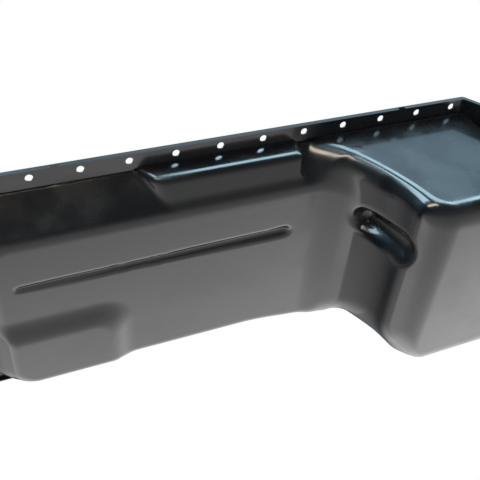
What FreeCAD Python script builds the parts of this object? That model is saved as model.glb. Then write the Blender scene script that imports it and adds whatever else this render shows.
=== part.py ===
import FreeCAD, Part
import math
import os

import Sketcher
from FreeCAD import Placement, Rotation, Vector

# Driving dimensions of the oil pan, in millimetres. The origin is the centre of the side rails'
# gasket face. X runs along the crankshaft to the sump end, Z points up to the engine, and the
# near side is the one at negative Y.
SIZES = [
    ("sheet", 1.6),
    ("hole_pitch", 60.0),
    ("hole_intervals", 12.0),
    ("rail_end_margin", 18.0),
    ("pan_width", 350.0),
    ("flange_width", 26.0),
    ("flange_corner", 18.0),
    ("rim_height", 5.0),
    ("notch_width", 10.0),
    ("notch_offset", 30.0),
    ("hole_diameter", 9.5),
    ("hole_inset", 13.0),
    ("end_hole_pitch", 110.0),
    ("end_drop", 40.0),
    ("drop_run", 24.0),
    ("low_rail", 30.0),
    ("drop_bend_radius", 6.0),
    ("neck_height", 12.0),
    ("tray_depth", 55.0),
    ("near_slope_run", 44.0),
    ("far_slope_run", 20.0),
    ("front_slope_run", 48.0),
    ("tray_corner_radius", 30.0),
    ("tray_bottom_radius", 14.0),
    ("sump_reach", 293.0),
    ("tray_overlap", 90.0),
    ("knee_depth", 96.0),
    ("knee_run", 79.0),
    ("toe_run", 13.0),
    ("sump_depth", 200.0),
    ("sump_side_draft", 4.0),
    ("sump_back_draft", 8.0),
    ("knee_radius", 30.0),
    ("sump_near_radius", 12.0),
    ("sump_far_radius", 50.0),
    ("sump_corner_radius", 30.0),
    ("sump_bottom_radius", 11.0),
    ("pad_back_gap", 5.0),
    ("pad_length", 224.0),
    ("pad_front_slope", 30.0),
    ("pad_back_slope", 8.0),
    ("pad_top_depth", 28.0),
    ("pad_floor_depth", 52.0),
    ("pad_width", 50.0),
    ("pad_edge_radius", 8.0),
    ("pocket_front_gap", 6.0),
    ("pocket_length", 186.0),
    ("pocket_width", 90.0),
    ("pocket_step", 10.0),
    ("pocket_slope", 26.0),
    ("pocket_corner_radius", 26.0),
    ("pocket_bottom_radius", 6.0),
    ("bead_front_x", 75.0),
    ("bead_length", 358.0),
    ("bead_y", 40.0),
    ("bead_lift", 2.0),
    ("bead_front_radius", 4.0),
    ("bead_back_radius", 9.0),
    ("recess_y", 68.0),
    ("recess_radius", 15.0),
    ("recess_top_depth", 84.0),
    ("recess_stand_off", 5.0),
    ("recess_run", 32.0),
    ("recess_length", 150.0),
    ("bung_radius", 17.0),
    ("bung_height", 8.0),
    ("thread_radius", 9.0),
    ("bung_depth", 165.0),
    ("plug_clearance", 0.1),
    ("plug_shank", 16.0),
    ("plug_collar_radius", 14.0),
    ("plug_collar_height", 3.0),
    ("plug_hex_flats", 19.0),
    ("plug_hex_height", 9.0),
    ("washer_radius", 13.0),
    ("washer_height", 1.5),
]

# Places worked out from the driving dimensions.
LAYOUT = [
    ("rail_back", "sizes.hole_pitch * sizes.hole_intervals / 2 + sizes.rail_end_margin"),
    ("low_start", "rail_back + sizes.drop_run"),
    ("low_end", "low_start + sizes.low_rail"),
    ("end_level", "-sizes.end_drop"),
    ("pan_half", "sizes.pan_width / 2"),
    ("fold_half", "pan_half - sizes.flange_width"),
    ("fold_front", "-rail_back + sizes.flange_width"),
    ("fold_back", "low_end - sizes.flange_width"),
    ("above", "sizes.neck_height"),
    ("far_above", "sizes.neck_height * 3"),
    ("cut_above", "sizes.neck_height * 5"),
    ("beyond_x", "low_end + sizes.flange_width"),
    ("gasket", "0"),
    ("rail_front", "-rail_back"),
    ("before_x", "-beyond_x"),
    ("tray_level", "-sizes.tray_depth"),
    ("tray_end", "ramp_start + sizes.knee_run + sizes.tray_overlap"),
    ("near_fold", "-fold_half"),
    ("near_floor", "near_fold + sizes.near_slope_run"),
    ("far_floor", "fold_half - sizes.far_slope_run"),
    ("front_floor", "fold_front + sizes.front_slope_run"),
    ("ramp_start", "fold_back - sizes.sump_reach"),
    ("knee_x", "ramp_start + sizes.knee_run"),
    ("knee_level", "-sizes.knee_depth"),
    ("toe_x", "knee_x + sizes.toe_run"),
    ("sump_level", "-sizes.sump_depth"),
    ("back_floor", "fold_back - sizes.sump_back_draft"),
    ("sump_far_floor", "fold_half - sizes.sump_side_draft"),
    ("sump_near_floor", "-sump_far_floor"),
    ("pad_back", "ramp_start - sizes.pad_back_gap"),
    ("pad_front", "pad_back - sizes.pad_length"),
    ("pad_back_low", "pad_back - sizes.pad_back_slope"),
    ("pad_front_low", "pad_front + sizes.pad_front_slope"),
    ("pad_edge_y", "near_fold + sizes.sump_side_draft"),
    ("pad_edge_level", "-sizes.pad_top_depth"),
    ("pad_floor_level", "-sizes.pad_floor_depth"),
    ("pad_inner_y", "near_fold + sizes.pad_width"),
    ("pocket_level", "tray_level - sizes.pocket_step"),
    ("pocket_front", "fold_front + sizes.pocket_front_gap"),
    ("pocket_front_low", "pocket_front + sizes.front_slope_run"),
    ("pocket_back", "pocket_front + sizes.pocket_length + sizes.pocket_slope"),
    ("pocket_back_low", "pocket_front + sizes.pocket_length"),
    ("pocket_far", "fold_half - sizes.sheet"),
    ("pocket_far_low", "far_floor - sizes.sheet"),
    ("pocket_near_low", "far_floor - sizes.pocket_width"),
    ("pocket_near", "pocket_near_low - sizes.pocket_slope"),
    ("front_neck", "fold_front - sizes.front_slope_run * above / sizes.tray_depth"),
    ("near_neck", "near_fold - sizes.near_slope_run * above / sizes.tray_depth"),
    ("far_neck", "fold_half + sizes.far_slope_run * above / sizes.tray_depth"),
    ("ramp_neck", "ramp_start - sizes.knee_run * above / sizes.knee_depth"),
    ("back_neck", "fold_back + sizes.sump_back_draft * above / sizes.sump_depth"),
    ("sump_neck", "fold_half + sizes.sump_side_draft * above / sizes.sump_depth"),
    ("bung_level", "-sizes.bung_depth"),
    ("seat_x", "fold_back - sizes.sump_back_draft * sizes.bung_depth / sizes.sump_depth"),
    ("bung_face", "seat_x + sizes.bung_height"),
    ("collar_seat", "bung_face + sizes.washer_height"),
    ("collar_face", "collar_seat + sizes.plug_collar_height"),
    ("shank_tip", "collar_seat - sizes.plug_shank"),
    ("bead_start", "fold_front + sizes.bead_front_x"),
    ("bead_end", "bead_start + sizes.bead_length"),
    ("bead_level", "tray_level + sizes.bead_lift"),
    ("recess_top", "-sizes.recess_top_depth"),
    ("recess_x", "knee_x - sizes.recess_stand_off"),
    ("bolt_y", "pan_half - sizes.hole_inset"),
    ("front_bolt_x", "rail_front + sizes.hole_inset"),
    ("low_bolt_x", "low_end - sizes.hole_inset"),
    ("first_bolt_x", "-sizes.hole_pitch * sizes.hole_intervals / 2"),
    ("first_notch_x", "first_bolt_x - sizes.notch_offset - sizes.notch_width / 2"),
    ("notch_low", "-sizes.sheet - sizes.rim_height * 2"),
]

PLANES = {
    "side": Placement(Vector(0, 0, 0), Rotation(Vector(1, 0, 0), 90)),
    "section": Placement(Vector(0, 0, 0), Rotation(Vector(1, 1, 1), 120)),
    "plan": Placement(),
}
ALONG_X = Rotation(Vector(0, 1, 0), 90)
UPRIGHT = Rotation()

doc = FreeCAD.newDocument("oil_pan")
sizes = doc.addObject("Spreadsheet::Sheet", "sizes")
for row, (alias, value) in enumerate(SIZES, 1):
    sizes.set(f"A{row}", alias)
    sizes.set(f"B{row}", str(value))
    sizes.setAlias(f"B{row}", alias)
layout = doc.addObject("Spreadsheet::Sheet", "layout")
for row, (alias, formula) in enumerate(LAYOUT, 1):
    layout.set(f"A{row}", alias)
    layout.setAlias(f"B{row}", alias)
for row, (alias, formula) in enumerate(LAYOUT, 1):
    layout.set(f"B{row}", "=" + formula)
doc.recompute()


def size(name):
    """The driving dimension of that name."""
    return float(getattr(sizes, name))


def place(name):
    """The derived place of that name, with a leading minus for its mirror image."""
    return -float(getattr(layout, name[1:])) if name[0] == "-" else float(getattr(layout, name))


def outline(label, plane, points):
    """A closed sketch through points given as pairs of place names, each bound to its cell."""
    sketch = doc.addObject("Sketcher::SketchObject", label)
    sketch.Placement = PLANES[plane]
    corners = [Vector(place(u), place(v), 0) for u, v in points]
    for index, corner in enumerate(corners):
        sketch.addGeometry(Part.LineSegment(corner, corners[(index + 1) % len(corners)]))
    for index in range(len(corners)):
        following = (index + 1) % len(corners)
        sketch.addConstraint(Sketcher.Constraint("Coincident", index, 2, following, 1))
    for index, names in enumerate(points):
        for kind, name in zip(("DistanceX", "DistanceY"), names):
            number = sketch.addConstraint(Sketcher.Constraint(kind, -1, 1, index, 1, place(name)))
            bound = f"-layout.{name[1:]}" if name[0] == "-" else f"layout.{name}"
            sketch.setExpression(f"Constraints[{number}]", bound)
    return sketch


def moved(label, sketch, formula):
    """The sketch with its line moved outwards by a formula, or inwards where that is negative."""
    offset = doc.addObject("Part::Offset2D", label)
    offset.Source = sketch
    offset.Join = "Intersection"
    offset.setExpression("Value", formula)
    return offset


def prism(label, source):
    """A flat outline extruded right through the pan on both sides."""
    solid = doc.addObject("Part::Extrusion", label)
    solid.Base = source
    solid.DirMode = "Normal"
    solid.Solid = True
    solid.Symmetric = True
    solid.setExpression("LengthFwd", "layout.beyond_x * 2")
    doc.recompute()
    return solid


def joined(kind, label, parts):
    """Parts combined by a Part::MultiCommon or Part::MultiFuse."""
    result = doc.addObject(kind, label)
    result.Shapes = parts
    result.Refine = True
    doc.recompute()
    return result


def cut(label, base, tool):
    """base with tool taken away."""
    result = doc.addObject("Part::Cut", label)
    result.Base = base
    result.Tool = tool
    result.Refine = True
    doc.recompute()
    return result


def rounded(label, base, radius, picked):
    """base with every edge rounded whose middle and rise along Z pass the test."""
    edges = []
    for number, edge in enumerate(base.Shape.Edges, 1):
        middle = edge.valueAt((edge.FirstParameter + edge.LastParameter) / 2)
        rise = abs(edge.Vertexes[0].Point.z - edge.Vertexes[-1].Point.z)
        if picked(middle, rise):
            edges.append((number, radius, radius))
    fillet = doc.addObject("Part::Fillet", label)
    fillet.Base = base
    fillet.Edges = edges
    doc.recompute()
    return fillet


def solid(kind, label, rotation, spot, lengths):
    """A Part primitive, its spot and its lengths bound to formulas."""
    thing = doc.addObject(kind, label)
    thing.Placement = Placement(Vector(), rotation)
    for axis, formula in zip("xyz", spot):
        thing.setExpression(f"Placement.Base.{axis}", formula)
    for name, formula in lengths.items():
        thing.setExpression(name, formula)
    return thing


def near_level(middle, level):
    """True where a point lies on a level."""
    return abs(middle.z - level) < 0.01


def form_prisms(label, wall, profiles):
    """The prisms of one drawn hollow, each outline moved inwards by wall times the sheet."""
    prisms = []
    for plane, points in profiles:
        source = outline(f"{label}_{plane}_line", plane, points)
        if wall:
            source = moved(f"{label}_{plane}_inset", source, "-sizes.sheet")
        prisms.append(prism(f"{label}_{plane}", source))
    return prisms


def tray_form(label, wall):
    """The shallow tray under the crankshaft, with its sloped near side and round corners."""
    sheet = size("sheet") * wall
    floor = place("tray_level") + sheet
    block = joined("Part::MultiCommon", f"{label}_block", form_prisms(label, wall, [
        ("side", [("front_neck", "above"), ("front_floor", "tray_level"), ("tray_end", "tray_level"),
                  ("tray_end", "above")]),
        ("section", [("near_neck", "above"), ("near_floor", "tray_level"), ("far_floor", "tray_level"),
                     ("far_neck", "above")]),
    ]))
    corners = rounded(f"{label}_corners", block, size("tray_corner_radius") - sheet,
                      lambda middle, rise: rise > size("tray_depth") / 2 and middle.x < place("front_floor"))
    return rounded(f"{label}_form", corners, size("tray_bottom_radius") - sheet,
                   lambda middle, rise: near_level(middle, floor) and middle.x < place("knee_x"))


def sump_form(label, wall):
    """The deep sump behind the ramp, with its knee, drafted walls and round corners."""
    sheet = size("sheet") * wall
    floor = place("sump_level") + sheet
    profile, section = form_prisms(label, wall, [
        ("side", [("ramp_neck", "above"), ("knee_x", "knee_level"), ("toe_x", "sump_level"),
                  ("back_floor", "sump_level"), ("back_neck", "above")]),
        ("section", [("-sump_neck", "above"), ("sump_near_floor", "sump_level"),
                     ("sump_far_floor", "sump_level"), ("sump_neck", "above")]),
    ])
    knee = rounded(f"{label}_knee", profile, size("knee_radius") + sheet,
                   lambda middle, rise: abs(middle.x - place("knee_x")) < 2 * size("sheet")
                   and abs(middle.z - place("knee_level")) < 2 * size("sheet"))
    block = joined("Part::MultiCommon", f"{label}_block", [knee, section])
    wall_y = place("sump_far_floor") - 2 * size("sheet")
    near = rounded(f"{label}_near", block, size("sump_near_radius") - sheet,
                   lambda middle, rise: rise > 1 and middle.y < -wall_y and middle.x < place("toe_x"))
    far = rounded(f"{label}_far", near, size("sump_far_radius") - sheet,
                  lambda middle, rise: rise > 1 and middle.y > wall_y and middle.x < place("toe_x"))
    back = rounded(f"{label}_back", far, size("sump_corner_radius") - sheet,
                   lambda middle, rise: rise > size("tray_depth")
                   and middle.x > place("back_floor") - size("sheet"))
    return rounded(f"{label}_form", back, size("sump_bottom_radius") - sheet,
                   lambda middle, rise: near_level(middle, floor))


def pad_form(label, wall):
    """The raised pad on the near slope, with its narrow top strip."""
    sheet = size("sheet") * wall
    section, profile = form_prisms(label, wall, [
        ("section", [("near_fold", "above"), ("near_fold", "gasket"), ("pad_edge_y", "pad_edge_level"),
                     ("pad_inner_y", "pad_floor_level"), ("pad_inner_y", "above")]),
        ("side", [("pad_front", "above"), ("pad_front", "gasket"), ("pad_front_low", "pad_floor_level"),
                  ("pad_back_low", "pad_floor_level"), ("pad_back", "gasket"), ("pad_back", "above")]),
    ])
    edge = rounded(f"{label}_edge", section, size("pad_edge_radius") - sheet,
                   lambda middle, rise: abs(middle.y - place("pad_edge_y")) < 2 * size("sheet")
                   and abs(middle.z - place("pad_edge_level")) < 2 * size("sheet"))
    return joined("Part::MultiCommon", f"{label}_form", [edge, profile])


def pocket_form(label, wall):
    """The slightly deeper field of the tray floor on the far side of the front end."""
    sheet = size("sheet") * wall
    floor = place("pocket_level") + sheet
    block = joined("Part::MultiCommon", f"{label}_block", form_prisms(label, wall, [
        ("section", [("pocket_near", "tray_level"), ("pocket_near_low", "pocket_level"),
                     ("pocket_far_low", "pocket_level"), ("pocket_far", "gasket"),
                     ("pocket_near", "gasket")]),
        ("side", [("pocket_front", "gasket"), ("pocket_front_low", "pocket_level"),
                  ("pocket_back_low", "pocket_level"), ("pocket_back", "tray_level"),
                  ("pocket_back", "gasket")]),
    ]))
    corner = rounded(f"{label}_corner", block, size("pocket_corner_radius") - sheet,
                     lambda middle, rise: rise > size("pocket_step") * 2
                     and middle.y > place("pocket_near_low") and middle.x < place("pocket_back_low"))
    return rounded(f"{label}_form", corner, size("pocket_bottom_radius") - sheet,
                   lambda middle, rise: near_level(middle, floor))


def bead_parts(label, wall):
    """The long bead of the tray floor, widening towards the sump, with its round ends."""
    less = f" - sizes.sheet * {wall}"
    level = ["-sizes.bead_y", "layout.bead_level"]
    radii = {"front": "sizes.bead_front_radius" + less, "back": "sizes.bead_back_radius" + less}
    return [
        solid("Part::Cone", f"{label}_cone", ALONG_X, ["layout.bead_start", *level],
              {"Radius1": radii["front"], "Radius2": radii["back"], "Height": "sizes.bead_length"}),
        solid("Part::Sphere", f"{label}_front", UPRIGHT, ["layout.bead_start", *level],
              {"Radius": radii["front"]}),
        solid("Part::Sphere", f"{label}_back", UPRIGHT, ["layout.bead_end", *level],
              {"Radius": radii["back"]}),
    ]


def recess_form(label, wall):
    """The round groove let into the sump's front wall, from its round top down to the bottom."""
    spot = ["layout.recess_x", "-sizes.recess_y", "layout.recess_top"]
    radius = {"Radius": f"sizes.recess_radius + sizes.sheet * {wall}"}
    tilt = math.degrees(math.atan2(size("recess_run"), size("sump_depth") - size("recess_top_depth")))
    groove = solid("Part::Cylinder", f"{label}_groove", Rotation(Vector(0, 1, 0), 180 - tilt), spot,
                   {**radius, "Height": "sizes.recess_length"})
    return joined("Part::MultiFuse", label, [groove, solid("Part::Sphere", f"{label}_top", UPRIGHT,
                                                           spot, radius)])


def hollow(label, wall):
    """The whole drawn hollow, its outside for wall 0 and its inside for wall 1."""
    forms = [tray_form(f"{label}_tray", wall), sump_form(f"{label}_sump", wall),
             pad_form(f"{label}_pad", wall), pocket_form(f"{label}_pocket", wall),
             *bead_parts(f"{label}_bead", wall)]
    mass = joined("Part::MultiFuse", f"{label}_mass", forms)
    return cut(label, mass, recess_form(f"{label}_recess", wall))


def rail_space(label, top, formula, bend_change):
    """The space above the gasket face, or above a surface below it by the formula."""
    source = outline(f"{label}_line", "side", [
        ("before_x", "gasket"), ("rail_back", "gasket"), ("low_start", "end_level"),
        ("beyond_x", "end_level"), ("beyond_x", top), ("before_x", top)])
    if formula:
        source = moved(f"{label}_moved", source, formula)
    block = prism(f"{label}_block", source)
    reach = 2 * size("sheet") + abs(bend_change)
    fold = rounded(f"{label}_fold", block, size("drop_bend_radius") + size("sheet") - bend_change,
                   lambda middle, rise: abs(middle.x - place("rail_back")) < reach
                   and abs(middle.z) < size("end_drop") / 2)
    return rounded(label, fold, size("drop_bend_radius") + bend_change,
                   lambda middle, rise: abs(middle.x - place("low_start")) < reach
                   and abs(middle.z - place("end_level")) < size("end_drop") / 2)


def bolt_hole(label, x_formula, y_formula):
    """The tool for one bolt hole straight through the flange."""
    return solid("Part::Cylinder", label, UPRIGHT, [x_formula, y_formula, "-sizes.end_drop * 2"],
                 {"Radius": "sizes.hole_diameter / 2", "Height": "sizes.end_drop * 3"})


outside = hollow("outside", 0)
inside = hollow("inside", 1)

above_rail = rail_space("above_rail", "cut_above", "", 0.0)
above_strip = rail_space("above_strip", "far_above", "sizes.sheet", size("sheet"))
above_rim = rail_space("above_rim", "far_above", "sizes.sheet + sizes.rim_height", size("sheet"))
flange_line = outline("flange_line", "plan", [
    ("rail_front", "-pan_half"), ("low_end", "-pan_half"), ("low_end", "pan_half"),
    ("rail_front", "pan_half")])
flange_block = rounded("flange_block", prism("flange_prism", flange_line), size("flange_corner"),
                       lambda middle, rise: rise > size("end_drop"))
rim_inset = moved("rim_inset", flange_line, "-sizes.sheet")
rim_core = rounded("rim_core", prism("rim_prism", rim_inset), size("flange_corner") - size("sheet"),
                   lambda middle, rise: rise > size("end_drop"))
plate = joined("Part::MultiCommon", "plate", [flange_block, above_strip])
rim = cut("rim", joined("Part::MultiCommon", "rim_block", [flange_block, above_rim]), rim_core)

tools = []
for number in range(int(size("hole_intervals")) + 1):
    row_x = f"layout.first_bolt_x + sizes.hole_pitch * {number}"
    tools.append(bolt_hole(f"near_hole_{number + 1}", row_x, "-layout.bolt_y"))
    tools.append(bolt_hole(f"far_hole_{number + 1}", row_x, "layout.bolt_y"))
for number in (-1, 0, 1):
    row_y = f"sizes.end_hole_pitch * {number}"
    tools.append(bolt_hole(f"front_hole_{number + 2}", "layout.front_bolt_x", row_y))
    tools.append(bolt_hole(f"back_hole_{number + 2}", "layout.low_bolt_x", row_y))
for number in (3, 11):
    notch_x = f"layout.first_notch_x + sizes.hole_pitch * {number}"
    tools.append(solid("Part::Box", f"rim_notch_{number}", UPRIGHT,
                       [notch_x, "-layout.pan_half - sizes.rim_height", "layout.notch_low"],
                       {"Length": "sizes.notch_width", "Width": "layout.pan_half * 2 + sizes.rim_height * 2",
                        "Height": "sizes.rim_height * 2"}))
bung_axis = ["0", "layout.bung_level"]
drain_bore = solid("Part::Cylinder", "drain_bore", ALONG_X,
                   ["layout.seat_x - sizes.bung_radius", *bung_axis],
                   {"Radius": "sizes.thread_radius", "Height": "sizes.bung_radius * 2"})

shell = joined("Part::MultiFuse", "shell", [outside, plate, rim])
trimmed = cut("trimmed", shell, above_rail)
opened = cut("opened", trimmed, inside)
notch_tools = [tool for tool in tools if tool.TypeId == "Part::Box"]
round_tools = [tool for tool in tools if tool.TypeId != "Part::Box"]
rim_tool = cut("rim_tool", joined("Part::MultiFuse", "notches", notch_tools), rim_core)
pan = cut("oil_pan", opened, joined("Part::MultiFuse", "holes", [*round_tools, drain_bore, rim_tool]))

bung_blank = solid("Part::Cylinder", "bung_blank", ALONG_X,
                   ["layout.bung_face - sizes.bung_radius", *bung_axis],
                   {"Radius": "sizes.bung_radius", "Height": "sizes.bung_radius"})
bung = cut("drain_bung", cut("bung_seated", bung_blank, outside), drain_bore)

shank = solid("Part::Cylinder", "plug_shank", ALONG_X, ["layout.shank_tip", *bung_axis],
              {"Radius": "sizes.thread_radius - sizes.plug_clearance", "Height": "sizes.plug_shank"})
collar = solid("Part::Cylinder", "plug_collar", ALONG_X, ["layout.collar_seat", *bung_axis],
               {"Radius": "sizes.plug_collar_radius", "Height": "sizes.plug_collar_height"})
head = solid("Part::Prism", "plug_hex", ALONG_X, ["layout.collar_face", *bung_axis],
             {"Circumradius": "sizes.plug_hex_flats / sqrt(3)", "Height": "sizes.plug_hex_height"})
plug = joined("Part::MultiFuse", "drain_plug", [shank, collar, head])

ring = solid("Part::Cylinder", "washer_ring", ALONG_X, ["layout.bung_face", *bung_axis],
             {"Radius": "sizes.washer_radius", "Height": "sizes.washer_height"})
eye = solid("Part::Cylinder", "washer_eye", ALONG_X, ["layout.bung_face", *bung_axis],
            {"Radius": "sizes.thread_radius + sizes.plug_clearance", "Height": "sizes.washer_height"})
washer = cut("drain_washer", ring, eye)
doc.recompute()

failed = [item.Label for item in doc.Objects if "Invalid" in item.State or "Error" in item.State]
if failed:
    raise RuntimeError(f"Objects that did not recompute: {failed}")
os.makedirs("parts", exist_ok=True)
for node in (pan, bung, plug, washer):
    if node.Shape.isNull() or not node.Shape.isValid() or len(node.Shape.Solids) != 1:
        raise RuntimeError(f"{node.Label} is not one valid solid")
    node.Shape.exportStep(f"parts/{node.Label}.step")
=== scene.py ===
"""The looks of a stamped engine oil pan: its pressed sheet, its flange, and the drain fittings."""
import logging
import math
from dataclasses import dataclass, field
from enum import Enum

import bmesh
import bpy
import numpy as np
from mathutils import Matrix, Vector


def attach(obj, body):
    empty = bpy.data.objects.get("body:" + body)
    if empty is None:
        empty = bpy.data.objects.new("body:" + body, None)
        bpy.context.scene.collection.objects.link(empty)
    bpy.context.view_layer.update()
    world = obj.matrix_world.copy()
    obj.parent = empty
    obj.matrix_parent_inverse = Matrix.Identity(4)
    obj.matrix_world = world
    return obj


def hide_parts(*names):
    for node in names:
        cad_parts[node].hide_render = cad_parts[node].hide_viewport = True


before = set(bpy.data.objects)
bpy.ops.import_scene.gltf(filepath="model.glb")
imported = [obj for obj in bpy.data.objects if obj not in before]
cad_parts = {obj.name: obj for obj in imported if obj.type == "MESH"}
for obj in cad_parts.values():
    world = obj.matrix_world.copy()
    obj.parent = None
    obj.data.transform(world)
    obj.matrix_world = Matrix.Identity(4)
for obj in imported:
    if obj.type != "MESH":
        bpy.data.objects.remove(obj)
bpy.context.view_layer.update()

MM = 0.001
# In metres: how close points are joined, and how deep the drain's axis lies.
SHELL_MERGE = 0.00005
FLANGE_MERGE = 0.00001
DRAIN_DEPTH = 0.165
# Numbers of the Mix node's sockets for colours, which share their names with others.
MIX_MASK, MIX_FIRST, MIX_SECOND, MIX_RESULT = 0, 6, 7, 2
log = logging.getLogger("oil_pan")

Array = np.ndarray
Pair = tuple[float, float]
Triple = tuple[float, float, float]
Color = tuple[float, float, float, float]
Socket = bpy.types.NodeSocket
Tree = bpy.types.NodeTree


def round_max(first: Array, second: Array, radius: float | Array) -> Array:
    """Joins two distances where both must hold, with the edge between them rounded.

    Args:
        first: signed distances to one surface, negative inside.
        second: signed distances to the other surface.
        radius: the radius of the rounded edge.

    Returns:
        The signed distances to the shared space.
    """
    corner = np.hypot(np.maximum(first + radius, 0.0), np.maximum(second + radius, 0.0))
    return np.minimum(-radius, np.maximum(first, second)) + corner


def round_min(first: Array, second: Array, radius: float | Array) -> Array:
    """Joins two spaces with the hollow corner between them rounded.

    Args:
        first: signed distances to one surface, negative inside.
        second: signed distances to the other surface.
        radius: the radius of the rounded hollow corner.

    Returns:
        The signed distances to both spaces together.
    """
    return -round_max(-first, -second, radius)


def slope(u: Array, v: Array, start: Pair, end: Pair) -> Array:
    """The distance from a flat wall seen edge on, positive to the right of the way along it.

    Args:
        u: the first coordinate of the points.
        v: the second coordinate of the points.
        start: a point on the wall.
        end: another point on the wall.

    Returns:
        The signed distances.
    """
    along_u, along_v = end[0] - start[0], end[1] - start[1]
    length = math.hypot(along_u, along_v)
    return ((u - start[0]) * along_v - (v - start[1]) * along_u) / length


def eased(values: Array, start: float, end: float) -> Array:
    """A smooth step.

    Args:
        values: the coordinates.
        start: where the step starts.
        end: where it ends.

    Returns:
        0 up to the start, 1 from the end on, and a smooth curve between them.
    """
    share = np.clip((values - start) / (end - start), 0.0, 1.0)
    return share * share * (3.0 - 2.0 * share)


def travelled(line: Array) -> Array:
    """How far along a line each of its points lies.

    Args:
        line: the points, one in each row.

    Returns:
        The lengths, from 0 at the first point.
    """
    return np.concatenate([[0.0], np.cumsum(np.linalg.norm(np.diff(line, axis=0), axis=1))])


def resampled(marks: Array, travel: Array, rows: Array) -> Array:
    """Reads rows of three numbers off at new places along a line.

    Args:
        marks: the lengths at which they are read.
        travel: the length at which each row stands.
        rows: the rows.

    Returns:
        One row for each mark.
    """
    return np.stack([np.interp(marks, travel, rows[:, axis]) for axis in range(3)], axis=1)


class Slot(Enum):
    """The record's material slots."""

    PAN = "pan_paint"
    BUNG = "bung_paint"
    PLUG = "plug_steel"
    WASHER = "washer_metal"


class Change(Enum):
    """How a value runs from one end of a range to the other."""

    EVEN = "LINEAR"
    SMOOTH = "SMOOTHSTEP"


class Ray(Enum):
    """The kinds of rays that meet a shader of their own."""

    MIRRORED = "Is Glossy Ray"
    SEEN = "Is Camera Ray"


@dataclass(frozen=True)
class Pad:
    """The raised pad on the near slope, in millimetres.

    Its outside falls from the top over the edge to the foot, which are places across and heights.
    The front and back each hold where that end starts at the rail and where it meets the floor.
    """

    top: Pair = (-150.0, -6.0)
    edge: Pair = (-146.0, -31.0)
    foot: Pair = (-96.0, -54.0)
    inner_side: float = -90.0
    front: Pair = (-116.0, -82.0)
    back: Pair = (113.0, 106.0)
    end_level: float = -52.0
    edge_radius: float = 6.5
    foot_radius: float = 6.0
    side_radius: float = 4.0
    end_radius: float = 8.0

    def distance(self, x: Array, y: Array, z: Array) -> Array:
        """The pad as signed distances.

        Args:
            x: coordinates along the rails.
            y: coordinates across.
            z: heights.

        Returns:
            The distances, negative inside.
        """
        strip = slope(y, z, self.top, self.edge)
        face = slope(y, z, self.edge, self.foot)
        front = slope(x, z, (self.front[0], 0.0), (self.front[1], self.end_level))
        back = slope(-x, z, (-self.back[0], 0.0), (-self.back[1], self.end_level))
        block = round_max(strip, face, self.edge_radius)
        block = round_max(block, self.foot[1] - z, self.foot_radius)
        block = round_max(block, y - self.inner_side, self.side_radius)
        return round_max(round_max(block, front, self.end_radius), back, self.end_radius)


@dataclass(frozen=True)
class Pocket:
    """The deeper field of the tray floor, in millimetres.

    The near and back walls hold their places at the tray's level and at the pocket's own level,
    and the far and front walls theirs at the rail and at the pocket's own level.
    """

    tray_level: float = -55.0
    level: float = -65.0
    near: Pair = (25.0, 39.0)
    far: Pair = (147.4, 127.4)
    front: Pair = (-346.0, -298.0)
    back: Pair = (-146.0, -160.0)
    front_radius: float = 26.0
    back_radius: float = 20.0
    side_radius: float = 8.0
    floor_radius: float = 6.0

    def distance(self, x: Array, y: Array, z: Array) -> Array:
        """The pocket as signed distances.

        Args:
            x: coordinates along the rails.
            y: coordinates across.
            z: heights.

        Returns:
            The distances, negative inside.
        """
        near = slope(y, z, (self.near[0], self.tray_level), (self.near[1], self.level))
        far = slope(-y, z, (-self.far[0], 0.0), (-self.far[1], self.level))
        front = slope(x, z, (self.front[0], 0.0), (self.front[1], self.level))
        back = slope(-x, z, (-self.back[0], self.tray_level), (-self.back[1], self.level))
        outer = round_max(front, far, self.front_radius)
        inner = round_max(near, back, self.back_radius)
        wall = round_max(outer, inner, self.side_radius)
        return round_max(wall, self.level - z, self.floor_radius)


@dataclass(frozen=True)
class Bead:
    """The long bead pressed inwards into the tray floor, in millimetres.

    It widens and rises towards the sump. It is pressed into what lies before floor_end and
    below floor_level.
    """

    start: float = -277.0
    length: float = 358.0
    side: float = -40.0
    half_width: float = 4.7
    widening: float = 5.1
    height: float = 4.0
    rise: float = 4.5
    roundness: float = 1.15
    floor_end: float = 120.0
    floor_level: float = -50.0

    def lift(self, x: Array, y: Array) -> Array:
        """How far the floor is lifted by the bead.

        Args:
            x: coordinates along the rails.
            y: coordinates across.

        Returns:
            The lift at each place, 0 beside the bead.
        """
        share = np.clip((x - self.start) / self.length, 0.0, 1.0)
        aside = np.hypot(x - self.start - self.length * share, y - self.side)
        aside = aside / (self.half_width + self.widening * share)
        crown = np.maximum(1.0 - aside * aside, 0.0) ** self.roundness
        return (self.height + self.rise * share) * crown


@dataclass(frozen=True)
class Recess:
    """The round groove let into the sump's front wall, in millimetres.

    Its axis falls from the top, a place along the rails and a height, by drop over run. It is
    pressed into what lies before wall_end and below wall_level, towards inwards.
    """

    top: Pair = (187.0, -88.0)
    run: float = 9.0
    drop: float = 68.0
    side: float = -64.0
    radius: float = 15.0
    widening: float = 3.0
    lips: float = 13.0
    wall_end: float = 235.0
    wall_level: float = -60.0
    inwards: Triple = (0.95, 0.0, 0.31)
    steps: int = 40
    pace: float = 0.8
    least: float = 0.05

    def distance(self, points: Array) -> Array:
        """The groove as signed distances.

        Args:
            points: the points, one in each row.

        Returns:
            The distances, negative inside the groove.
        """
        x, y, z = points[:, 0], points[:, 1], points[:, 2]
        share = (x - self.top[0]) * self.run - (z - self.top[1]) * self.drop
        share = np.clip(share / (self.run ** 2 + self.drop ** 2), 0.0, 1.0)
        spot_x, spot_z = self.top[0] + share * self.run, self.top[1] - share * self.drop
        reach = np.sqrt((x - spot_x) ** 2 + (y - self.side) ** 2 + (z - spot_z) ** 2)
        return reach - (self.radius + self.widening * share)


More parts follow.
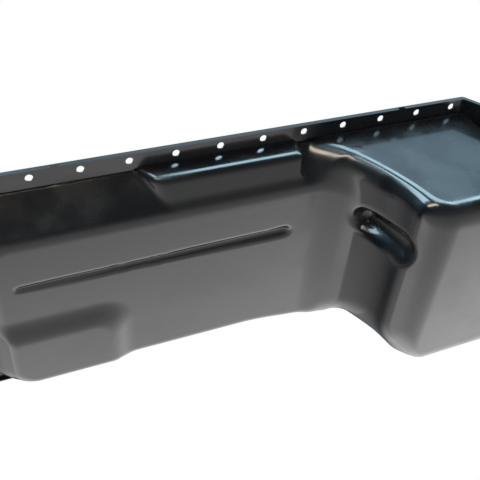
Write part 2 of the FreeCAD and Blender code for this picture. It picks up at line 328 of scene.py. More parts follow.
@dataclass(frozen=True)
class Search:
    """How rays from the pan's middle find the outside of the hollow.

    Lengths and places are in millimetres, last_tilt is in radians, and overhang and low_overhang,
    how far the rays turn past level beside the high and the low rail, are in degrees.
    """

    most_steps: int = 400
    pace: float = 0.85
    close: float = 0.004
    floor_samples: int = 2600
    fan_samples: int = 900
    fan_start: float = 250.0
    last_tilt: float = math.pi / 2 - 0.004
    floor_side: float = 25.0
    sink_start: float = 120.0
    sink_gap: float = 0.3
    sunk_level: float = -1.0
    turns: int = 640
    overhang: float = 4.0
    low_overhang: float = 42.0
    rows: int = 126
    step: float = 3.0
    fine_length: float = 30.0
    fine_marks: int = 32


@dataclass
class PressedHollow:
    """The drawn hollow of the pan: tray, ramp, deep sump, pad, pocket, bead and recess.

    All its sizes are in millimetres, and a pair is a range along the rails, but for the knee and
    the toe, which are places along the rails and heights.
    """

    pad: Pad = Pad()
    pocket: Pocket = Pocket()
    bead: Bead = Bead()
    recess: Recess = Recess()
    search: Search = Search()
    fold_half: float = 149.0
    fold_front: float = -352.0
    fold_back: float = 406.0
    rail_back: float = 378.0
    low_start: float = 402.0
    low_level: float = -40.0
    tray_level: float = -55.0
    near_floor: float = -108.0
    far_floor: float = 129.0
    far_spread: float = 13.0
    spread_range: Pair = (30.0, 160.0)
    front_floor: float = -304.0
    tray_overlap: float = 50.0
    tray_near_radius: float = 17.7
    tray_far_radius: float = 23.2
    tray_radius: float = 6.5
    ramp_start: float = 113.0
    knee: Pair = (192.0, -96.0)
    toe: Pair = (205.0, -200.0)
    back_floor: float = 398.0
    side_draft: float = 4.0
    knee_radius: float = 30.0
    toe_radius: float = 40.0
    near_radius: float = 26.0
    far_radius: float = 74.0
    far_growth: Pair = (120.0, 195.0)
    far_least: float = 0.3
    far_easing: Pair = (215.0, 265.0)
    bottom_radius: float = 16.0
    corner_radius: float = 30.0
    corner_height: float = 60.0
    foot_radius: float = 30.0
    pad_foot_radius: float = 4.0
    pocket_foot_radius: float = 7.0
    foot_depth: float = 45.0
    foot_least: float = 0.03
    sheet: float = 1.6
    proud: float = 0.05
    top_gap: float = 1.1

    def tray(self, x: Array, y: Array, z: Array) -> Array:
        """The shallow tray as signed distances.

        Args:
            x: coordinates along the rails.
            y: coordinates across.
            z: heights.

        Returns:
            The distances, negative inside.
        """
        half, level = self.fold_half, self.tray_level
        near = slope(y, z, (-half, 0.0), (self.near_floor, level))
        spread = self.far_spread * eased(x, *self.spread_range) * np.clip(z / level, 0.0, 1.0)
        far = slope(y - spread, z, (self.far_floor, level), (half, 0.0))
        front = slope(x, z, (self.fold_front, 0.0), (self.front_floor, level))
        wall = round_max(near, front, self.tray_near_radius)
        wall = round_max(wall, far, self.tray_far_radius)
        block = round_max(wall, level - z, self.tray_radius)
        return np.maximum(block, x - self.ramp_start - self.tray_overlap)

    def sump(self, x: Array, y: Array, z: Array) -> Array:
        """The deep sump behind the ramp as signed distances.

        Args:
            x: coordinates along the rails.
            y: coordinates across.
            z: heights.

        Returns:
            The distances, negative inside.
        """
        half, deep = self.fold_half, self.toe[1]
        ramp = slope(x, z, (self.ramp_start, 0.0), self.knee)
        front = slope(x, z, self.knee, self.toe)
        face = round_min(ramp, front, self.knee_radius)
        near = slope(y, z, (-half, 0.0), (self.side_draft - half, deep))
        far = slope(-y, z, (-half, 0.0), (self.side_draft - half, deep))
        back = slope(-x, z, (-self.fold_back, 0.0), (-self.back_floor, deep))
        profile = round_max(face, deep - z, self.toe_radius)
        start, end = self.far_growth
        far_radius = self.far_radius * np.clip((x - start) / (end - start), self.far_least, 1.0)
        far_radius += (self.bottom_radius - far_radius) * eased(x, *self.far_easing)
        wall = round_max(round_max(profile, near, self.near_radius), far, far_radius)
        share = np.clip((z - deep) / self.corner_height, 0.0, 1.0)
        back_radius = self.bottom_radius + (self.corner_radius - self.bottom_radius) * share
        return round_max(wall, back, back_radius)

    def distance(self, points: Array) -> Array:
        """The hollow's outside as signed distances, without the bead and the recess.

        Args:
            points: the points, one in each row.

        Returns:
            The distances, negative inside.
        """
        x, y, z = points[:, 0], points[:, 1], points[:, 2]
        fade = np.clip(-z / self.foot_depth, self.foot_least, 1.0)
        shape = round_min(self.tray(x, y, z), self.sump(x, y, z), self.foot_radius * fade)
        shape = round_min(shape, self.pad.distance(x, y, z), self.pad_foot_radius * fade)
        shape = round_min(shape, self.pocket.distance(x, y, z), self.pocket_foot_radius * fade)
        return shape - self.proud

    def pressed_in(self, points: Array) -> Array:
        """Pushes points of the sump's front wall inwards, into the shape of the recess.

        Args:
            points: points on the hollow's outside, one in each row.

        Returns:
            The moved points.
        """
        recess, inwards = self.recess, np.array(self.recess.inwards)
        reach = np.zeros(len(points))
        for _ in range(recess.steps):
            spots = points + inwards * reach[:, None]
            outside = round_max(self.distance(spots), -recess.distance(spots), recess.lips)
            reach = reach + np.maximum(outside, 0.0) * recess.pace
        return points + inwards * np.where(reach > recess.least, reach, 0.0)[:, None]

    def rail(self, x: Array) -> Array:
        """The height at which the pressed sheet ends, just under the gasket face.

        Args:
            x: coordinates along the rails.

        Returns:
            The heights.
        """
        run = self.low_start - self.rail_back
        return np.clip((self.rail_back - x) / run, -1.0, 0.0) * -self.low_level - self.top_gap

    def cast(self, origins: Array, rays: Array) -> Array:
        """Follows rays from inside the hollow to its outside.

        Args:
            origins: the points that the rays start from, one in each row.
            rays: unit directions, one in each row.

        Returns:
            The points where they leave, one in each row.
        """
        reach = np.zeros(len(rays))
        going = np.arange(len(rays))
        for _ in range(self.search.most_steps):
            gap = -self.distance(origins[going] + rays[going] * reach[going, None])
            reach[going] = np.maximum(reach[going] + gap * self.search.pace, 0.0)
            going = going[np.abs(gap) > self.search.close]
        return origins + rays * reach[:, None]

    def stations(self) -> Array:
        """The columns of rays, spread evenly over the floor's length but closer at the front.

        Returns:
            One row for each column: where it starts along the pan, at what height, and its tilt.
        """
        search = self.search
        spots = np.linspace(self.fold_front + self.top_gap, search.fan_start, search.floor_samples)
        tilts = np.linspace(0.0, search.last_tilt, search.fan_samples)[1:]
        x = np.concatenate([spots, np.full_like(tilts, search.fan_start)])
        tilt = np.concatenate([np.zeros_like(spots), tilts])
        lowest = self.low_level - self.top_gap - search.sink_gap
        height = lowest * eased(x, search.sink_start, search.fan_start)
        origins = np.stack([x, np.full_like(x, search.floor_side), height], axis=1)
        rays = np.stack([np.sin(tilt), np.zeros_like(x), -np.cos(tilt)], axis=1)
        travel = travelled(self.cast(origins, rays))
        rest = np.linspace(search.fine_length, travel[-1], round(travel[-1] / search.step))
        fine = np.linspace(0.0, search.fine_length, search.fine_marks)[:-1]
        return resampled(np.concatenate([fine, rest]), travel, np.stack([x, height, tilt], axis=1))

    def lines(self, stations: Array) -> Array:
        """Lines of points across the pan, from the near rail under the hollow to the far one.

        Args:
            stations: the x, height and tilt of each column.

        Returns:
            The points in millimetres, by column and row.
        """
        search = self.search
        spread = np.radians(np.where(stations[:, 1] < search.sunk_level,
                                     search.low_overhang, search.overhang))
        turn = np.linspace(-spread, math.pi + spread, search.turns, axis=1)
        tilt = np.broadcast_to(stations[:, 2:], turn.shape)
        across, down = -np.cos(tilt) * np.cos(turn), -np.cos(tilt) * np.sin(turn)
        rays = np.stack([np.sin(tilt), across, down], axis=2)
        starts = np.stack([stations[:, 0], np.zeros(len(stations)), stations[:, 1]], axis=1)
        starts = np.broadcast_to(starts[:, None, :], rays.shape)
        cloud = self.cast(starts.reshape(-1, 3), rays.reshape(-1, 3)).reshape(rays.shape)
        result = np.empty((len(stations), search.rows, 3))
        for number, points in enumerate(cloud):
            kept = np.flatnonzero(points[:, 2] <= self.rail(points[:, 0]))
            line = points[kept[0]:kept[-1] + 1]
            for end in (0, -1):
                line[end, 2] = self.rail(line[end:, 0][:1])[0]
            length = travelled(line)
            result[number] = resampled(np.linspace(0.0, length[-1], search.rows), length, line)
        return result

    def pressed(self, points: Array) -> Array:
        """Adds the recess and the bead to the points of the outside.

        Args:
            points: the points by column and row.

        Returns:
            The moved points.
        """
        moved = self.pressed_in(points.reshape(-1, 3)).reshape(points.shape)
        wall = points[:, :, :1] < self.recess.wall_end
        wall = wall & (points[:, :, 2:] < self.recess.wall_level)
        points = np.where(wall, moved, points)
        x, y, z = points[:, :, 0], points[:, :, 1], points[:, :, 2]
        floor = (x < self.bead.floor_end) & (z < self.bead.floor_level)
        points[:, :, 2] += np.where(floor, self.bead.lift(x, y), 0.0)
        return points

    def build(self) -> bpy.types.Object:
        """The pressed sheet as one warped grid with its real thickness.

        Returns:
            The object, linked to the scene.
        """
        points = self.pressed(self.lines(self.stations()))
        columns, rows = len(points) - 1, self.search.rows - 1
        mesh = bmesh.new()
        bmesh.ops.create_grid(mesh, x_segments=columns, y_segments=rows, size=1.0)
        half = max(vertex.co.x for vertex in mesh.verts)
        for vertex in mesh.verts:
            column = round((vertex.co.x / half + 1.0) / 2.0 * columns)
            row = round((vertex.co.y / half + 1.0) / 2.0 * rows)
            vertex.co = Vector(points[column, row]) * MM
        bmesh.ops.remove_doubles(mesh, verts=mesh.verts, dist=SHELL_MERGE)
        if sum(face.normal.z * face.calc_area() for face in mesh.faces) > 0.0:
            bmesh.ops.reverse_faces(mesh, faces=mesh.faces)
        piece = finished("pan_shell", mesh)
        wall = piece.modifiers.new("sheet", "SOLIDIFY")
        wall.thickness = (self.sheet + 2 * self.proud) * MM
        wall.offset = -1.0
        wall.use_even_offset = False
        return piece


def finished(name: str, mesh: bmesh.types.BMesh, angle: float = 60.0) -> bpy.types.Object:
    """Makes a scene object of a bmesh, shaded smoothly except at its sharp edges.

    Args:
        name: the object's name.
        mesh: the bmesh, which is freed.
        angle: the angle in degrees above which an edge stays sharp.

    Returns:
        The object, linked to the scene.
    """
    for face in mesh.faces:
        face.smooth = True
    for edge in mesh.edges:
        edge.smooth = not (edge.is_manifold and edge.calc_face_angle(0.0) > math.radians(angle))
    data = bpy.data.meshes.new(name)
    mesh.to_mesh(data)
    mesh.free()
    piece = bpy.data.objects.new(name, data)
    bpy.context.scene.collection.objects.link(piece)
    return piece


@dataclass
class Flange:
    """The flat drilled flange with its turned-down rim, taken from the pan's own solid.

    Lengths are in millimetres and angles in degrees. Within half, front and back, all that hangs
    more than the collar under the rail goes, and past collar_end more than the low collar.
    """

    half: float = 159.0
    front: float = -361.0
    back: float = 411.0
    collar: float = 4.0
    collar_end: float = 340.0
    low_collar: float = 2.275
    flat_angle: float = 0.6
    sharp_angle: float = 32.0

    def build(self) -> bpy.types.Object:
        """Copies the solid's flange, without the hollow that hangs below it.

        Returns:
            The object, linked to the scene.
        """
        mesh = bmesh.new()
        mesh.from_mesh(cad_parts["oil_pan"].data)
        bmesh.ops.remove_doubles(mesh, verts=mesh.verts, dist=FLANGE_MERGE)
        half, front, back = self.half * MM, self.front * MM, self.back * MM
        along, across, upright = (1, 0, 0), (0, 1, 0), (0, 0, 1)
        for spot, normal in (((0, half, 0), across), ((0, -half, 0), across),
                             ((front, 0, 0), along), ((back, 0, 0), along),
                             ((0, 0, -self.collar * MM), upright)):
            bmesh.ops.bisect_plane(mesh, geom=mesh.verts[:] + mesh.edges[:] + mesh.faces[:],
                                   plane_co=spot, plane_no=normal)
        hollow = PressedHollow()
        doomed = []
        for face in mesh.faces:
            middle = face.calc_center_median()
            rail = float(hollow.rail(np.array([middle.x / MM]))[0]) * MM
            inner = abs(middle.y) < half and front < middle.x < back
            collar = self.collar if middle.x < self.collar_end * MM else self.low_collar
            if inner and middle.z < rail - collar * MM:
                doomed.append(face)
        bmesh.ops.delete(mesh, geom=doomed, context="FACES")
        bmesh.ops.dissolve_limit(mesh, angle_limit=math.radians(self.flat_angle),
                                 verts=mesh.verts, edges=mesh.edges)
        bmesh.ops.triangulate(mesh, faces=mesh.faces)
        return finished("pan_flange", mesh, self.sharp_angle)


def put(tree: Tree, value: Socket | Color | float, target: Socket) -> None:
    """Links an output to an input, or sets the input to a constant.

    Args:
        tree: the node tree.
        value: the output or the constant.
        target: the input.
    """
    if isinstance(value, Socket):
        tree.links.new(value, target)
    else:
        target.default_value = value


def product(tree: Tree, first: Socket, second: Socket | float) -> Socket:
    """Adds a multiplication.

    Args:
        tree: the node tree.
        first: one factor's output.
        second: the other's output, or a number.

    Returns:
        The product's output.
    """
    node = tree.nodes.new("ShaderNodeMath")
    node.operation = "MULTIPLY"
    put(tree, first, node.inputs[0])
    put(tree, second, node.inputs[1])
    return node.outputs[0]


def spanned(tree: Tree, value: Socket, given: Pair, wanted: Pair = (0.0, 1.0),
            change: Change = Change.EVEN) -> Socket:
    """Adds a clamped change from one range of values to another.

    Args:
        tree: the node tree.
        value: the value's output.
        given: the range that comes in.
        wanted: the range that goes out.
        change: how it runs between the ends.

    Returns:
        The result's output.
    """
    node = tree.nodes.new("ShaderNodeMapRange")
    node.interpolation_type = change.value
    for key, number in zip(("From Min", "From Max", "To Min", "To Max"), given + wanted):
        put(tree, number, node.inputs[key])
    put(tree, value, node.inputs["Value"])
    return node.outputs["Result"]


def mixed(tree: Tree, first: Socket | Color, second: Color, mask: Socket) -> Socket:
    """Mixes two colours by a mask.

    Args:
        tree: the node tree.
        first: the colour where the mask is 0, or its output.
        second: the colour where it is 1.
        mask: the mask's output.

    Returns:
        The mixed colour's output.
    """
    node = tree.nodes.new("ShaderNodeMix")
    node.data_type = "RGBA"
    put(tree, first, node.inputs[MIX_FIRST])
    put(tree, second, node.inputs[MIX_SECOND])
    put(tree, mask, node.inputs[MIX_MASK])
    return node.outputs[MIX_RESULT]


def ramped(tree: Tree, value: Socket, stops: tuple[tuple[float, Color], ...]) -> Socket:
    """Adds a colour ramp.

    Args:
        tree: the node tree.
        value: the value's output.
        stops: the places on the ramp and their colours.

    Returns:
        The colour's output.
    """
    node = tree.nodes.new("ShaderNodeValToRGB")
    while len(node.color_ramp.elements) < len(stops):
        node.color_ramp.elements.new(0.5)
    for element, (position, color) in zip(node.color_ramp.elements, stops):
        element.position, element.color = position, color
    put(tree, value, node.inputs["Fac"])
    return node.outputs["Color"]


def chosen(tree: Tree, ray: Ray, plain: Socket, special: Socket) -> Socket:
    """Adds a choice between two shaders.

    Args:
        tree: the node tree.
        ray: the kind of ray that the choice is about.
        plain: the shader for all other rays.
        special: the shader for that kind.

    Returns:
        The chosen shader's output.
    """
    path = tree.nodes.new("ShaderNodeLightPath")
    node = tree.nodes.new("ShaderNodeMixShader")
    for number, source in enumerate((path.outputs[ray.value], plain, special)):
        put(tree, source, node.inputs[number])
    return node.outputs[0]


def new_group(name: str, numbers: tuple[str, ...], results: tuple[str, ...]) -> Tree:
    """A shader node group with a Vector input and the named numbers.

    Args:
        name: the group's name.
        numbers: its number inputs.
        results: its number outputs.

    Returns:
        The group, with its input and output nodes called in and out.
    """
    tree = bpy.data.node_groups.new(name, "ShaderNodeTree")
    tree.interface.new_socket("Vector", in_out="INPUT", socket_type="NodeSocketVector")
    for number in numbers:
        tree.interface.new_socket(number, in_out="INPUT", socket_type="NodeSocketFloat")
    for result in results:
        tree.interface.new_socket(result, in_out="OUTPUT", socket_type="NodeSocketFloat")
    tree.nodes.new("NodeGroupInput").name = "in"
    tree.nodes.new("NodeGroupOutput").name = "out"
    return tree


def noise(tree: Tree, scale_by: float, detail: float) -> Socket:
    """Adds a noise texture to a group, its scale a multiple of the group's own.

    Args:
        tree: the group.
        scale_by: the multiple.
        detail: the noise's detail.

    Returns:
        The noise's output.
    """
    given = tree.nodes["in"].outputs
    texture = tree.nodes.new("ShaderNodeTexNoise")
    put(tree, detail, texture.inputs["Detail"])
    put(tree, product(tree, given["Scale"], scale_by), texture.inputs["Scale"])
    put(tree, given["Vector"], texture.inputs["Vector"])
    return texture.outputs["Fac"]


def dust_group() -> Tree:
    """Fine settled dust: Mask is its specks, and Veil the soft patches where it lies thicker.

    Returns:
        The group.
    """
    if "settled_dust" in bpy.data.node_groups:
        return bpy.data.node_groups["settled_dust"]
    tree = new_group("settled_dust", ("Scale", "Amount"), ("Mask", "Veil"))
    given, result = tree.nodes["in"].outputs, tree.nodes["out"].inputs
    broad = noise(tree, scale_by=0.05, detail=4.0)
    fine = noise(tree, scale_by=4.0, detail=2.0)
    veil = spanned(tree, broad, given=(0.38, 0.68), change=Change.SMOOTH)
    specks = spanned(tree, fine, given=(0.66, 0.74), change=Change.SMOOTH)
    put(tree, product(tree, specks, given["Amount"]), result["Mask"])
    put(tree, veil, result["Veil"])
    return tree


def peel_group() -> Tree:
    """The orange peel of sprayed enamel over the slight waves of pressed sheet.

    Returns:
        The group, which puts out Height.
    """
    if "orange_peel" in bpy.data.node_groups:
        return bpy.data.node_groups["orange_peel"]
    tree = new_group("orange_peel", ("Scale",), ("Height",))
    waves = noise(tree, scale_by=0.06, detail=2.0)
    waves_over_peel = 1.6
    peel = noise(tree, scale_by=1.0, detail=2.0)
    both = tree.nodes.new("ShaderNodeMath")
    both.operation = "MULTIPLY_ADD"
    for number, value in enumerate((waves, waves_over_peel, peel)):
        put(tree, value, both.inputs[number])
    put(tree, both.outputs[0], tree.nodes["out"].inputs["Height"])
    return tree


def turning_group() -> Tree:
    """Rings left by turning, around the drain's own axis.

    Returns:
        The group, which puts out Height.
    """
    if "turning_rings" in bpy.data.node_groups:
        return bpy.data.node_groups["turning_rings"]
    tree = new_group("turning_rings", ("Scale",), ("Height",))
    given = tree.nodes["in"].outputs
    centred = tree.nodes.new("ShaderNodeMapping")
    put(tree, (0.0, 0.0, DRAIN_DEPTH), centred.inputs["Location"])
    put(tree, given["Vector"], centred.inputs["Vector"])
    rings = tree.nodes.new("ShaderNodeTexWave")
    rings.wave_type = "RINGS"
    rings.rings_direction = "X"
    put(tree, 0.6, rings.inputs["Distortion"])
    put(tree, given["Scale"], rings.inputs["Scale"])
    put(tree, centred.outputs["Vector"], rings.inputs["Vector"])
    put(tree, rings.outputs["Fac"], tree.nodes["out"].inputs["Height"])
    return tree


class Paint:
    """A node material being put together around one Principled shader."""

    def __init__(self, name: str) -> None:
        """Starts a material with its shader and object coordinates.

        Args:
            name: the material's name.
        """
        self.data = bpy.data.materials.new(name)
        self.data.use_nodes = True
        self.tree = self.data.node_tree
        self.shader = self.tree.nodes["Principled BSDF"]
        self.coordinates = self.tree.nodes.new("ShaderNodeTexCoord")

    def dress(self, **values: Socket | Color | float) -> None:
        """Sets or links inputs of the shader.

        Args:
            values: outputs or constants by the input's name, with _ for each space.
        """
        for key, value in values.items():
            put(self.tree, value, self.shader.inputs[key.replace("_", " ")])

    def group(self, tree: Tree, **values: float) -> bpy.types.bpy_prop_collection:
        """Places a shared effect in this material.

        Args:
            tree: the effect's node group.
            values: its inputs' values by name.

        Returns:
            The outputs of the group's node.
        """
        node = self.tree.nodes.new("ShaderNodeGroup")
        node.node_tree = tree
        put(self.tree, self.coordinates.outputs["Object"], node.inputs["Vector"])
        for key, value in values.items():
            put(self.tree, value, node.inputs[key])
        return node.outputs

    def bump(self, height: Socket, strength: float, depth: float) -> Socket:
        """Turns a height into a bumped normal.

        Args:
            height: the height's output.
            strength: how strong the bump is.
            depth: its depth in metres.

        Returns:
            The normal's output.
        """
        node = self.tree.nodes.new("ShaderNodeBump")
        put(self.tree, strength, node.inputs["Strength"])
        put(self.tree, depth, node.inputs["Distance"])
        put(self.tree, height, node.inputs["Height"])
        return node.outputs["Normal"]


@dataclass(frozen=True)
class Enamel:
    """Glossy black enamel over pressed steel, with orange peel and dust."""

    color: Color = (0.004, 0.0042, 0.0048, 1.0)
    dust_color: Color = (0.05, 0.049, 0.047, 1.0)
    roughness: float = 0.2
    rough_span: Pair = (0.85, 1.7)
    coat: float = 0.5
    coat_roughness: float = 0.07
    dust_scale: float = 260.0
    dust_amount: float = 0.35
    peel: float = 0.05
    peel_scale: float = 420.0
    peel_depth: float = 0.0004

    def material(self, name: str) -> bpy.types.Material:
        """The enamel as a material.

        Args:
            name: the material's name.

        Returns:
            The material.
        """
        paint = Paint(name)
        dust = paint.group(dust_group(), Scale=self.dust_scale, Amount=self.dust_amount)
        peel = paint.group(peel_group(), Scale=self.peel_scale)
        low, high = (self.roughness * share for share in self.rough_span)
        paint.dress(
            Base_Color=mixed(paint.tree, self.color, self.dust_color, dust["Mask"]),
            Roughness=spanned(paint.tree, dust["Veil"], (0.0, 1.0), (low, high)),
            Normal=paint.bump(peel["Height"], self.peel, self.peel_depth),
            Coat_Weight=self.coat,
            Coat_Roughness=self.coat_roughness,
        )
        return paint.data


@dataclass(frozen=True)
class PlatedSteel:
    """Turned and plated metal, with fine turning marks and dull patches."""

    color: Color
    dull_color: Color
    roughness: float = 0.3
    rough_span: Pair = (0.8, 1.6)
    dust_scale: float = 500.0
    dust_amount: float = 0.6
    turning: float = 0.12
    turning_scale: float = 1400.0
    turning_depth: float = 0.0002

    def material(self, name: str) -> bpy.types.Material:
        """The plated metal as a material.

        Args:
            name: the material's name.

        Returns:
            The material.
        """
        paint = Paint(name)
        dust = paint.group(dust_group(), Scale=self.dust_scale, Amount=self.dust_amount)
        turned = paint.group(turning_group(), Scale=self.turning_scale)
        low, high = (self.roughness * share for share in self.rough_span)
        paint.dress(
            Base_Color=mixed(paint.tree, self.color, self.dull_color, dust["Veil"]),
            Roughness=spanned(paint.tree, dust["Veil"], (0.0, 1.0), (low, high)),
            Normal=paint.bump(turned["Height"], self.turning, self.turning_depth),
            Metallic=1.0,
        )
        return paint.data


@dataclass
class Pan:
    """The pressed and painted pan, its shell and its flange."""

    hollow: PressedHollow = field(default_factory=PressedHollow)
    flange: Flange = field(default_factory=Flange)
    enamel: Enamel = field(default_factory=Enamel)

    def build(self) -> None:
        """Builds the pan's two pieces in the place of its node, and paints them."""
        paint = self.enamel.material("black_enamel")
        for piece in (self.hollow.build(), self.flange.build()):
            piece.data.materials.clear()
            piece.data.materials.append(paint)
            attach(piece, "root")
            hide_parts("oil_pan")
            log.info("%s: %d faces", piece.name, len(piece.data.polygons))


@dataclass
class Drain:
    """The drain bung, plug and washer, dressed as they are."""

    bung: Enamel = Enamel(roughness=0.26, peel=0.08)
    plug: PlatedSteel = PlatedSteel((0.6, 0.57, 0.5, 1.0), (0.42, 0.4, 0.36, 1.0))
    washer: PlatedSteel = PlatedSteel((0.78, 0.78, 0.78, 1.0), (0.6, 0.6, 0.6, 1.0), 0.35)

    def dress(self) -> None:
        """Gives each fitting's node its material."""
        for node, slot, finish in (("drain_bung", Slot.BUNG, self.bung),
                                   ("drain_plug", Slot.PLUG, self.plug),
                                   ("drain_washer", Slot.WASHER, self.washer)):
            paint = finish.material(f"{node}_finish")
            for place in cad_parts[node].material_slots:
                place.material = paint
            log.info("%s: dressed, and keeps the slot %s", node, slot.value)


@dataclass(frozen=True)
class Lamp:
    """One soft area lamp, with its places and size in metres and its power in watts."""

    name: str
    spot: Triple
    aim: Triple
    size: Pair
    power: float
    color: Triple

    def hang(self) -> bpy.types.Object:
        """Adds the lamp to the scene.

        Returns:
            The lamp.
        """
        data = bpy.data.lights.new(self.name, "AREA")
        data.shape = "RECTANGLE"
        data.size, data.size_y = self.size
        data.energy = self.power
        data.color = self.color
        lamp = bpy.data.objects.new(self.name, data)
        lamp.location = self.spot
        way = Vector(self.aim) - Vector(self.spot)
        lamp.rotation_euler = way.to_track_quat("-Z", "Y").to_euler()
        bpy.context.scene.collection.objects.link(lamp)
        return lamp


WARM, COOL = (1.0, 0.88, 0.74), (0.6, 0.86, 1.0)
EDGE_LAMPS = (
    Lamp("edge_strip", (-0.3, -1.6, -0.12), (0.15, -0.1, -0.1), (1.0, 0.2), 7.0, WARM),
    Lamp("corner_panel", (-0.35, -1.38, 0.52), (0.2, -0.14, -0.15), (0.75, 0.55), 14.0, COOL),
    Lamp("pad_panel", (0.72, -1.5, 0.58), (0.0, -0.15, -0.02), (0.8, 0.85), 16.0, COOL),
    Lamp("rim_panel", (1.28, -1.34, 0.2), (0.3, -0.14, -0.19), (0.6, 0.4), 7.0, COOL),
)
ROOM_LAMPS = (
    Lamp("sky_panel", (-1.05, -1.5, 1.4), (0.1, 0.0, -0.05), (1.7, 1.2), 60.0, (0.4, 0.75, 1.0)),
    Lamp("ceiling_panel", (0.3, 0.9, 2.4), (0.0, 0.2, -0.1), (1.6, 1.2), 30.0, (1.0, 0.99, 0.98)),
)


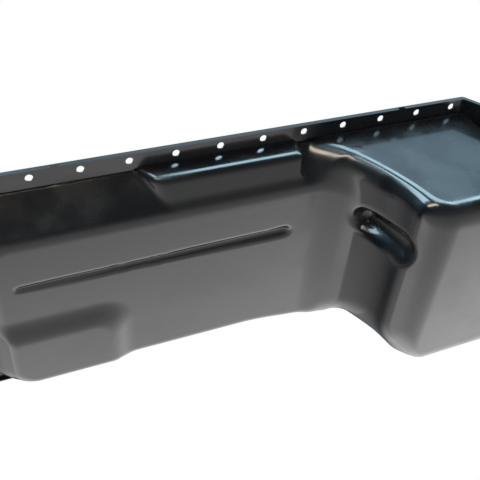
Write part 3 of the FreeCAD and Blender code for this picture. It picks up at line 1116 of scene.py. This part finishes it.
@dataclass
class Studio:
    """The camera, the lamps, the pale floor and the surroundings that the paint mirrors.

    Lengths are in metres, except for the lens and the sensor. floor_glow holds places across the
    floor, as shares of floor_span, with the painted light that mirrored rays meet there, and
    room_glow shares of the way up the room.
    The last four pairs say where the room changes across, along and upwards, from -1 to 1.
    """

    eye: Triple = (-0.3047, -0.6548, -0.694)
    right: Triple = (0.919, -0.073, -0.388)
    up: Triple = (0.203, -0.756, 0.623)
    lens: float = 52.5
    sensor: float = 36.0
    clip_start: float = 0.01
    floor_level: float = -0.98
    floor_half: float = 6.0
    floor_color: Color = (0.86, 0.86, 0.86, 1.0)
    floor_dust: Color = (0.83, 0.83, 0.835, 1.0)
    floor_roughness: float = 0.9
    floor_dust_scale: float = 60.0
    floor_dust_amount: float = 0.1
    floor_span: Pair = (-2.0, 2.0)
    floor_tint: Triple = (1.0, 0.99, 0.985)
    floor_glow: tuple[Pair, ...] = (
        (0.05, 0.06), (0.29, 0.26), (0.4, 0.66), (0.6, 1.1), (0.78, 2.1),
    )
    room_glow: tuple[tuple[float, Color], ...] = (
        (0.0, (0.8, 0.8, 0.82, 1.0)), (0.2, (0.1, 0.1, 0.11, 1.0)),
        (0.53, (0.05, 0.06, 0.07, 1.0)), (0.6, (0.75, 1.35, 1.8, 1.0)),
        (0.74, (0.6, 1.0, 1.3, 1.0)), (0.9, (0.8, 1.1, 1.3, 1.0)),
    )
    far_glow: Color = (1.7, 1.66, 1.66, 1.0)
    room_light: Color = (0.84, 0.86, 0.88, 1.0)
    backdrop: Color = (1.0, 1.0, 1.0, 1.0)
    dimmed: float = 0.12
    far_dimming: Pair = (-0.1, 0.5)
    front_dimming: Pair = (-0.1, 0.2)
    far_wall: Pair = (0.3, 0.95)
    far_wall_top: Pair = (0.45, 0.05)

    def camera(self) -> None:
        """Sets the photograph's camera."""
        right, up = Vector(self.right).normalized(), Vector(self.up).normalized()
        back = right.cross(up).normalized()
        up = back.cross(right)
        data = bpy.data.cameras.new("photo_camera")
        data.sensor_width = self.sensor
        data.lens = self.lens
        data.clip_start = self.clip_start
        view = bpy.data.objects.new("photo_camera", data)
        turn = Matrix((right, up, back)).transposed().to_4x4()
        view.matrix_world = Matrix.Translation(self.eye) @ turn
        bpy.context.scene.collection.objects.link(view)
        bpy.context.scene.camera = view

    def floor(self) -> None:
        """Lays the pale floor well below the held part. To mirrored rays only, it glows with a
        soft gradient across it: a painted reflection in the pan's paint.
        """
        mesh = bmesh.new()
        bmesh.ops.create_grid(mesh, x_segments=2, y_segments=2, size=self.floor_half)
        for vertex in mesh.verts:
            vertex.co.z = self.floor_level
        piece = finished("studio_floor", mesh)
        paint = Paint("pale_floor")
        tree, nodes = paint.tree, paint.tree.nodes
        dust = paint.group(dust_group(), Scale=self.floor_dust_scale,
                           Amount=self.floor_dust_amount)
        paint.dress(
            Base_Color=mixed(tree, self.floor_color, self.floor_dust, dust["Veil"]),
            Roughness=self.floor_roughness,
        )
        split = nodes.new("ShaderNodeSeparateXYZ")
        put(tree, paint.coordinates.outputs["Object"], split.inputs[0])
        # Painted reflection: to mirrored rays only, the floor glows with this gradient across it,
        # and the pan's paint mirrors that light.
        stops = tuple((position, (*(level * tint for tint in self.floor_tint), 1.0))
                      for position, level in self.floor_glow)
        glow = nodes.new("ShaderNodeEmission")
        across = spanned(tree, split.outputs["Y"], self.floor_span)
        put(tree, ramped(tree, across, stops), glow.inputs["Color"])
        surface = chosen(tree, Ray.MIRRORED, paint.shader.outputs[0], glow.outputs[0])
        put(tree, surface, nodes["Material Output"].inputs["Surface"])
        piece.data.materials.append(paint.data)

    def surroundings(self) -> None:
        """Makes the world: white behind the part, and a soft room for its paint to mirror."""
        world = bpy.data.worlds.new("soft_room")
        world.use_nodes = True
        bpy.context.scene.world = world
        tree, nodes = world.node_tree, world.node_tree.nodes
        way = nodes.new("ShaderNodeTexCoord")
        split = nodes.new("ShaderNodeSeparateXYZ")
        put(tree, way.outputs["Generated"], split.inputs[0])
        along, across, height = (split.outputs[axis] for axis in "XYZ")
        dim = nodes.new("ShaderNodeVectorMath")
        dim.operation = "SCALE"
        put(tree, ramped(tree, spanned(tree, height, (-1.0, 1.0)), self.room_glow), dim.inputs[0])
        near = spanned(tree, across, self.far_dimming, (1.0, self.dimmed))
        aside = spanned(tree, along, self.front_dimming, (self.dimmed, 1.0))
        put(tree, product(tree, near, aside), dim.inputs["Scale"])
        far = product(tree, spanned(tree, across, self.far_wall),
                      spanned(tree, height, self.far_wall_top))
        mirrored = mixed(tree, dim.outputs[0], self.far_glow, far)
        light = nodes["Background"]
        room, white = (nodes.new("ShaderNodeBackground") for _ in range(2))
        put(tree, self.room_light, light.inputs["Color"])
        put(tree, mirrored, room.inputs["Color"])
        put(tree, self.backdrop, white.inputs["Color"])
        unseen = chosen(tree, Ray.MIRRORED, light.outputs[0], room.outputs[0])
        surface = chosen(tree, Ray.SEEN, unseen, white.outputs[0])
        put(tree, surface, nodes["World Output"].inputs["Surface"])

    def lamps(self) -> None:
        """Hangs the lamps. Those that the pan's rounded edges mirror light only its shell."""
        lit = bpy.data.collections.new("edge_lit")
        lit.objects.link(bpy.data.objects["pan_shell"])
        for lamp in EDGE_LAMPS:
            lamp.hang().light_linking.receiver_collection = lit
        for lamp in ROOM_LAMPS:
            lamp.hang()

    def build(self) -> None:
        """Sets up the whole studio."""
        self.camera()
        self.floor()
        self.surroundings()
        self.lamps()
        bpy.context.scene.view_settings.view_transform = "Standard"


def main() -> None:
    """Builds the pan, dresses its fittings and sets up the studio."""
    logging.basicConfig(level=logging.INFO, format="%(message)s")
    Pan().build()
    Drain().dress()
    Studio().build()


if __name__ == "__main__":
    main()
